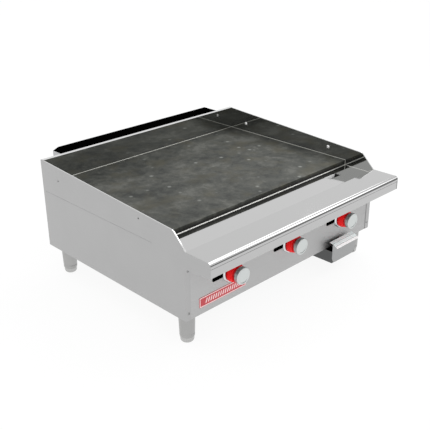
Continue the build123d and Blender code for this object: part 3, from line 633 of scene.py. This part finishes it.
bezel_bore, bezel_radius, bezel_face = 9 * MM, 37 * MM, 34 * MM
bezel_rim, bezel_depth = 5 * MM, 10 * MM
bezel_profile = rounded([
    (bezel_bore, 0),
    (bezel_radius, 0),
    (bezel_radius, bezel_rim),
    (bezel_face, bezel_depth),
    (bezel_bore, bezel_depth),
], [0, 0, 2 * MM, 2 * MM, 0.4 * MM])
bezel_middles = [(low + high) / 2 for (low, high) in solids_of("knob_bezels")]
bezel_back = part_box("knob_bezels")[1].y
bezels = turned("pressed_bezels", [
    (bezel_profile, (middle[0], bezel_back, middle[2]), forward) for middle in bezel_middles
], chrome, "body", closed=True)
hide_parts("knob_bezels")

skirt_bore, skirt_face = 4 * MM, 28 * MM
neck_radius, neck_length = 19 * MM, 9 * MM
grip_rim, dish_slope, dish_depth = 5 * MM, 2 * MM, 1 * MM

for side in knob_sides:
    skirt_low, skirt_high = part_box(side + "_knob_skirt")
    grip_low, grip_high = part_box(side + "_knob_grip")
    axis_x, axis_z = (skirt_low.x + skirt_high.x) / 2, (skirt_low.z + skirt_high.z) / 2
    skirt_radius = (skirt_high.x - skirt_low.x) / 2
    skirt_depth = skirt_high.y - skirt_low.y
    skirt_profile = rounded([
        (skirt_bore, 0),
        (skirt_radius, 0),
        (skirt_radius, skirt_depth / 3),
        (skirt_face, skirt_depth),
        (skirt_bore, skirt_depth),
    ], [0, 1.5 * MM, 2 * MM, 1.5 * MM, 0])
    skirt = turned(side + "_red_skirt", [(skirt_profile, (axis_x, skirt_high.y, axis_z), forward)],
                   red, side + "_knob", closed=True)
    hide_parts(side + "_knob_skirt")
    grip_depth = grip_high.y - grip_low.y
    grip_radius = (grip_high.x - grip_low.x) / 2
    dish_radius = grip_radius - grip_rim
    grip_profile = rounded([
        (0, 0),
        (neck_radius, 0),
        (neck_radius, neck_length),
        (grip_radius, neck_length),
        (grip_radius, grip_depth),
        (dish_radius, grip_depth),
        (dish_radius - dish_slope, grip_depth - dish_depth),
        (0, grip_depth - dish_depth),
    ], [0, 0, 1.5 * MM, 1.2 * MM, 2.2 * MM, 1 * MM, 1 * MM, 0])
    grip = turned(side + "_round_grip", [(grip_profile, (axis_x, grip_high.y, axis_z), forward)],
                  grip_metal, side + "_knob")
    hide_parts(side + "_knob_grip")
dress([side + "_valve_stem" for side in knob_sides],
      brushed("ground_shaft_steel", "#b4b4b4", "#a4a4a4", "Y", 0.3))

# ---------------------------------------------------------------- badge
# A thin enamelled plate flat on the panel: red field, a pale raised border, and a plain
# row of slanted pale bars. It carries no words and no mark.


def enamel(name, colour, roughness):
    """Fired enamel: even colour under a clear skin, with a faint waviness 6 mm across."""
    material, tree, surface = new_surface(name, Base_Color=linear(colour), Roughness=roughness,
                                          Coat_Weight=0.3, Coat_Roughness=0.1)
    place = add(tree, "ShaderNodeTexCoord").outputs["Object"]
    wave = add(tree, "ShaderNodeTexNoise", {"Vector": place, "Scale": 1 / (6 * MM), "Detail": 1.0})
    lift = add(tree, "ShaderNodeBump", {"Height": wave.outputs["Fac"], "Strength": 0.1, "Distance": 0.1 * MM})
    tree.links.new(lift.outputs["Normal"], surface.inputs["Normal"])
    return material


badge_low, badge_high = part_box("badge_plate")
badge_red = enamel("red_enamel", "#c0303a", 0.35)
badge_pale = enamel("pale_enamel", "#fadcdc", 0.35)


def rounded_box(x0, x1, z0, z1, radius, slant=0.0):
    """Outline in (x, z) of a rectangle with round corners, leaning right by slant at its top."""
    return rounded([(x0, z0), (x1, z0), (x1 + slant, z1), (x0 + slant, z1)], [radius] * 4)


def on_panel(name, outlines, y_back, y_front, material, body="body", hole=None):
    """Flat shapes that face the front: each (x, z) outline carried from y_back to y_front.

    With a hole, the first outline is a frame: both outlines have as many points, and quads join them.
    """
    points, faces, count = [], [], 0
    for outline in outlines:
        size = len(outline)
        rings = [outline, outline] if hole is None else [outline, outline, hole, hole]
        depths = [y_back, y_front] if hole is None else [y_back, y_front, y_front, y_back]
        points += [np.stack([ring[:, 0], np.full(size, y), ring[:, 1]], 1) for ring, y in zip(rings, depths)]
        closed = hole is not None
        faces += [list(face + count) for face in grid_faces(len(rings), size, closed, True)]
        if not closed:
            faces += [[count + k for k in range(size)], [count + size + k for k in range(size)]]
        count += size * len(rings)
    return piece(name, np.concatenate(points), faces, material, body)


badge_relief = 0.5 * MM
badge_sink = 0.1 * MM
badge_face = badge_low.y + badge_relief
field = on_panel("badge_field", [rounded_box(badge_low.x, badge_high.x, badge_low.z, badge_high.z, 4 * MM)],
                 badge_high.y, badge_face, badge_red)
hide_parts("badge_plate")
rim_out, rim_in = 1.2 * MM, 3.8 * MM
on_panel("badge_border", [rounded_box(badge_low.x + rim_out, badge_high.x - rim_out, badge_low.z + rim_out,
                                      badge_high.z - rim_out, 3 * MM)],
         badge_face + badge_sink, badge_low.y, badge_pale,
         hole=rounded_box(badge_low.x + rim_in, badge_high.x - rim_in, badge_low.z + rim_in,
                          badge_high.z - rim_in, 2 * MM))
bar_pitch, bar_width, bar_slant, bar_count = 10 * MM, 4.4 * MM, 5 * MM, 15
bar_margin, bar_set_back = 9.5 * MM, 0.15 * MM
badge_middle = (badge_low.x + badge_high.x) / 2
bar_places = bar_pitch * (np.arange(bar_count) - (bar_count - 1) / 2)
bar_starts = badge_middle + bar_places - (bar_width + bar_slant) / 2
on_panel("badge_bars", [
    rounded_box(x, x + bar_width, badge_low.z + bar_margin, badge_high.z - bar_margin, 0.6 * MM, bar_slant)
    for x in bar_starts
], badge_face + badge_sink, badge_low.y + bar_set_back, badge_pale)

# ---------------------------------------------------------------- flue
# A duct of 1.5 mm stainless behind the body. Its outside is brushed, and its inside is painted black as
# painted shade, dull and slightly uneven.


def duct_painted_shade_inside():
    """Brushed sheet outside and painted black shade inside, told apart by the places of the side and rear
    walls.
    """
    material = brushed("stainless_duct_painted_shade_inside", "#bcbdbe", "#b0b1b2", "X", 0.32)
    tree = material.node_tree
    surface = tree.nodes["Principled BSDF"]
    low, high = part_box("flue_box")
    wall, tab = 1.5 * MM, 18 * MM
    shade_depth = 0.9 * wall
    place = add(tree, "ShaderNodeTexCoord").outputs["Object"]
    axes = add(tree, "ShaderNodeSeparateXYZ", {"Vector": place})
    sideways = add(tree, "ShaderNodeMath", {0: axes.outputs["X"]}, operation="ABSOLUTE")
    within_x = add(tree, "ShaderNodeMath", {0: sideways.outputs[0], 1: high.x - tab - shade_depth},
                   operation="LESS_THAN")
    within_y = add(tree, "ShaderNodeMath", {0: axes.outputs["Y"], 1: high.y - shade_depth},
                   operation="LESS_THAN")
    inside = add(tree, "ShaderNodeMath", {0: within_x.outputs[0], 1: within_y.outputs[0]},
                 operation="MULTIPLY")
    shade_mottle = add(tree, "ShaderNodeTexNoise", {"Vector": place, "Scale": 1 / (20 * MM), "Detail": 4.0})
    # The inside's near-black is painted shade, mottled a little by noise.
    painted_shade = add(tree, "ShaderNodeMix", {"Factor": shade_mottle.outputs["Fac"], "A": linear("#030303"),
                                       "B": linear("#0b0a09")}, data_type="RGBA")
    old_tone = surface.inputs["Base Color"].links[0].from_socket
    tone = add(tree, "ShaderNodeMix", {"Factor": inside.outputs[0], "A": old_tone,
                                       "B": painted_shade.outputs["Result"]}, data_type="RGBA")
    tree.links.new(tone.outputs["Result"], surface.inputs["Base Color"])
    old_gloss = surface.inputs["Roughness"].links[0].from_socket
    gloss = add(tree, "ShaderNodeMix", {"Factor": inside.outputs[0], "A": old_gloss, "B": 0.85},
                data_type="FLOAT")
    tree.links.new(gloss.outputs["Result"], surface.inputs["Roughness"])
    return material


dress(["flue_box"], duct_painted_shade_inside())

# ---------------------------------------------------------------- drain chute and grease drawer
# A welded chute leads to a drawer of folded stainless. The chute is painted white where it stands lit and
# black where it is shaded: painted light and painted shade. The drawer's front has round lower corners, with
# a pull folded along the top that is painted white as a highlight and grey as shade along its bends. Rails
# under the base carry the drawer.


def chute_painted_light_and_shade():
    """White as painted light, and black as painted shade on the right wall and from 18 mm under the trough's
    top down.
    """
    material, tree, surface = new_surface("white_chute_painted_light_and_shade", Roughness=0.5)
    shade_starts, shade_full = 15 * MM, 18 * MM
    place = add(tree, "ShaderNodeTexCoord").outputs["Object"]
    height = add(tree, "ShaderNodeSeparateXYZ", {"Vector": place}).outputs["Z"]
    deep_shade = add(tree, "ShaderNodeMapRange", {"Value": height, "From Min": trough_top - shade_full,
                                            "From Max": trough_top - shade_starts, "To Min": 1.0,
                                            "To Max": 0.0})
    facing = add(tree, "ShaderNodeNewGeometry").outputs["Normal"]
    sideways = add(tree, "ShaderNodeSeparateXYZ", {"Vector": facing}).outputs["X"]
    shaded_right_wall = add(tree, "ShaderNodeMath", {0: sideways, 1: -0.5}, operation="LESS_THAN")
    painted_shade_mask = add(tree, "ShaderNodeMath", {0: deep_shade.outputs["Result"], 1: shaded_right_wall.outputs[0]},
                  operation="MAXIMUM")
    # White is painted light on the lit walls, and black is painted shade deep in the hole and on the right
    # wall.
    tone = add(tree, "ShaderNodeMix", {"Factor": painted_shade_mask.outputs[0], "A": linear("#ffffff"),
                                       "B": linear("#060504")}, data_type="RGBA")
    tree.links.new(tone.outputs["Result"], surface.inputs["Base Color"])
    return material


dress(["drain_chute"], chute_painted_light_and_shade())
# The pan's dark grey is painted shade: its side stands in shadow under the control panel.
dress(["drawer_pan"], brushed("stainless_pan_painted_shade", "#5f6060", "#525353", "Y", 0.3))
dress(["left_drawer_rail", "right_drawer_rail"],
      brushed("aluminised_rail", "#b0b0ae", "#9e9e9c", "Y", 0.4))
drawer_low, drawer_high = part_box("drawer_front")
drawer_sheet = 1.5 * MM
pull_reach, pull_gap = 16 * MM, 2.5 * MM
low_corner, top_corner = 18 * MM, 0.8 * MM
face_front = drawer_low.y + pull_reach
face_top = drawer_high.z - pull_gap - drawer_sheet
face = on_panel("drawer_face", [
    rounded([(drawer_low.x, drawer_low.z), (drawer_high.x, drawer_low.z), (drawer_high.x, face_top),
             (drawer_low.x, face_top)], [low_corner, low_corner, top_corner, top_corner])
], face_front + drawer_sheet, face_front, brushed("brushed_stainless_drawer", "#a6a7a7", "#9e9f9f", "X", 0.3),
    "grease_drawer")
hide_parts("drawer_front")


def pull_outline():
    """Section of the pull, 1.5 mm thick: three flats that turn down one after another, with short bends."""
    folds = np.array([(17.0, 0.0), (3.0, -2.5), (-9.0, -8.0), (-16.0, -14.0)]) * MM
    folds += (face_front, drawer_high.z)
    under = folds[::-1] - (0, drawer_sheet)
    corners = np.concatenate([folds, under])
    radii = np.array([0.5, 6, 6, 0.6, 0.4, 4.5, 4.5, 0.5]) * MM
    return rounded(corners, radii, steps=5)


def pull_painted_light_bands():
    """Painted highlights in white on the flats, and painted shade in grey along the two bends: the normal's Z
    tells a bend from a flat.
    """
    material, tree, surface = new_surface("pull_painted_highlights_and_shade", Roughness=0.45, Specular_IOR_Level=0.3)
    facing = add(tree, "ShaderNodeNewGeometry").outputs["Normal"]
    height = add(tree, "ShaderNodeSeparateXYZ", {"Vector": facing}).outputs["Z"]
    light_bands = add(tree, "ShaderNodeValToRGB", {"Fac": height})
    light_bands.color_ramp.interpolation = "CONSTANT"
    # The white bands are painted highlights, and the grey ones are painted shade.
    for at, colour in ((0.79, "#8c8c8c"), (0.885, "#f4ffff"), (0.93, "#8c8c8c"), (0.972, "#f4ffff")):
        stop = light_bands.color_ramp.elements.new(at)
        stop.color = linear(colour)
    light_bands.color_ramp.elements[0].color = linear("#ffffff")
    tree.links.new(light_bands.outputs["Color"], surface.inputs["Base Color"])
    return material


pull_inset = 3 * MM
across("folded_pull", pull_outline(), drawer_low.x + pull_inset, drawer_high.x - pull_inset,
       pull_painted_light_bands(), "grease_drawer")

# ---------------------------------------------------------------- legs and levelling feet
# Tapered legs pressed from tube and plated satin nickel, each with a turned foot whose edge
# is rounded. The foot screws out of the leg to level the griddle.
leg_plate = brushed("satin_nickel_plate", "#b0b0af", "#a4a4a3", "Z", 0.3)
foot_plate = brushed("satin_nickel_foot", "#c0c0bf", "#b0b0af", "Z", 0.26)
leg_bore, leg_bottom, leg_top = 6.05 * MM, 23.5 * MM, 26 * MM
collar_height, groove_radius, groove_top = 9 * MM, 22.9 * MM, 11 * MM
leg_slope = 1 * MM
bolt_bore, top_wall = 5.25 * MM, 6 * MM
inner_top, inner_bottom, bottom_wall = 20 * MM, 18 * MM, 8 * MM
foot_radius, stem_radius, foot_gap = 21.5 * MM, 6 * MM, 0.3 * MM
for corner in ("front_left", "front_right", "rear_left", "rear_right"):
    leg_low, leg_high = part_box(corner + "_leg")
    foot_low, foot_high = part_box(corner + "_foot")
    x, y = (leg_low.x + leg_high.x) / 2, (leg_low.y + leg_high.y) / 2
    tall = leg_high.z - leg_low.z
    leg_profile = rounded([
        (leg_bore, 0),
        (leg_bottom, 0),
        (leg_bottom + 0.2 * MM, collar_height),
        (groove_radius, collar_height + leg_slope),
        (groove_radius, groove_top),
        (groove_radius + leg_slope, groove_top + leg_slope),
        (leg_top, tall),
        (bolt_bore, tall),
        (bolt_bore, tall - top_wall),
        (inner_top, tall - top_wall),
        (inner_bottom, bottom_wall),
        (leg_bore, bottom_wall),
    ], [0, 2 * MM, 0.4 * MM, 0, 0, 0.4 * MM, 0, 0, 0, 0, 0, 0])
    leg = turned(corner + "_plated_leg", [(leg_profile, (x, y, leg_low.z), up)],
                 leg_plate, "body", closed=True)
    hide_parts(corner + "_leg")
    sole = leg_low.z - foot_gap - foot_low.z
    foot_profile = rounded([
        (0, 0),
        (foot_radius, 0),
        (foot_radius, sole),
        (stem_radius, sole),
        (stem_radius, foot_high.z - foot_low.z),
        (0, foot_high.z - foot_low.z),
    ], [0, 10 * MM, 1 * MM, 0, 0.8 * MM, 0], steps=10)
    foot = turned(corner + "_levelling_foot", [(foot_profile, (x, y, foot_low.z), up)],
                  foot_plate, corner + "_leveller")
    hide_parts(corner + "_foot")

# ---------------------------------------------------------------- inside the body
# What the panels hide: aluminised baffles and base, hot-rolled bars that carry the plate and
# the burners, aluminised burner tubes, black lacquered pipe, and brass valves and orifice hoods.
dress(["base_pan", "front_heat_shield", "left_heat_shield", "right_heat_shield", "chamber_floor"],
      brushed("aluminised_baffle", "#a9a9a7", "#969694", "X", 0.45))
dress(["front_plate_support", "rear_plate_support", "burner_rail", "pipe_clamps"],
      brushed("hot_rolled_bar", "#5c5a58", "#474645", "X", 0.55))
dress(["left_burner", "centre_burner", "right_burner"],
      brushed("aluminised_burner_tube", "#999994", "#80807a", "Y", 0.45))
dress(["left_valve", "centre_valve", "right_valve", "orifice_hoods"],
      brushed("turned_brass", "#d0b070", "#bd9a58", "Y", 0.28))
dress(["pilot_line"], brushed("bright_pilot_tube", "#b8b2a8", "#a49d92", "X", 0.3))
dress(["leg_bolts"], brushed("zinc_plated_bolt", "#b4b6b8", "#9fa1a3", "Z", 0.35))
lacquer = enamel("black_pipe_lacquer", "#161616", 0.4)
dress(["gas_manifold", "gas_inlet_pipe"], lacquer)
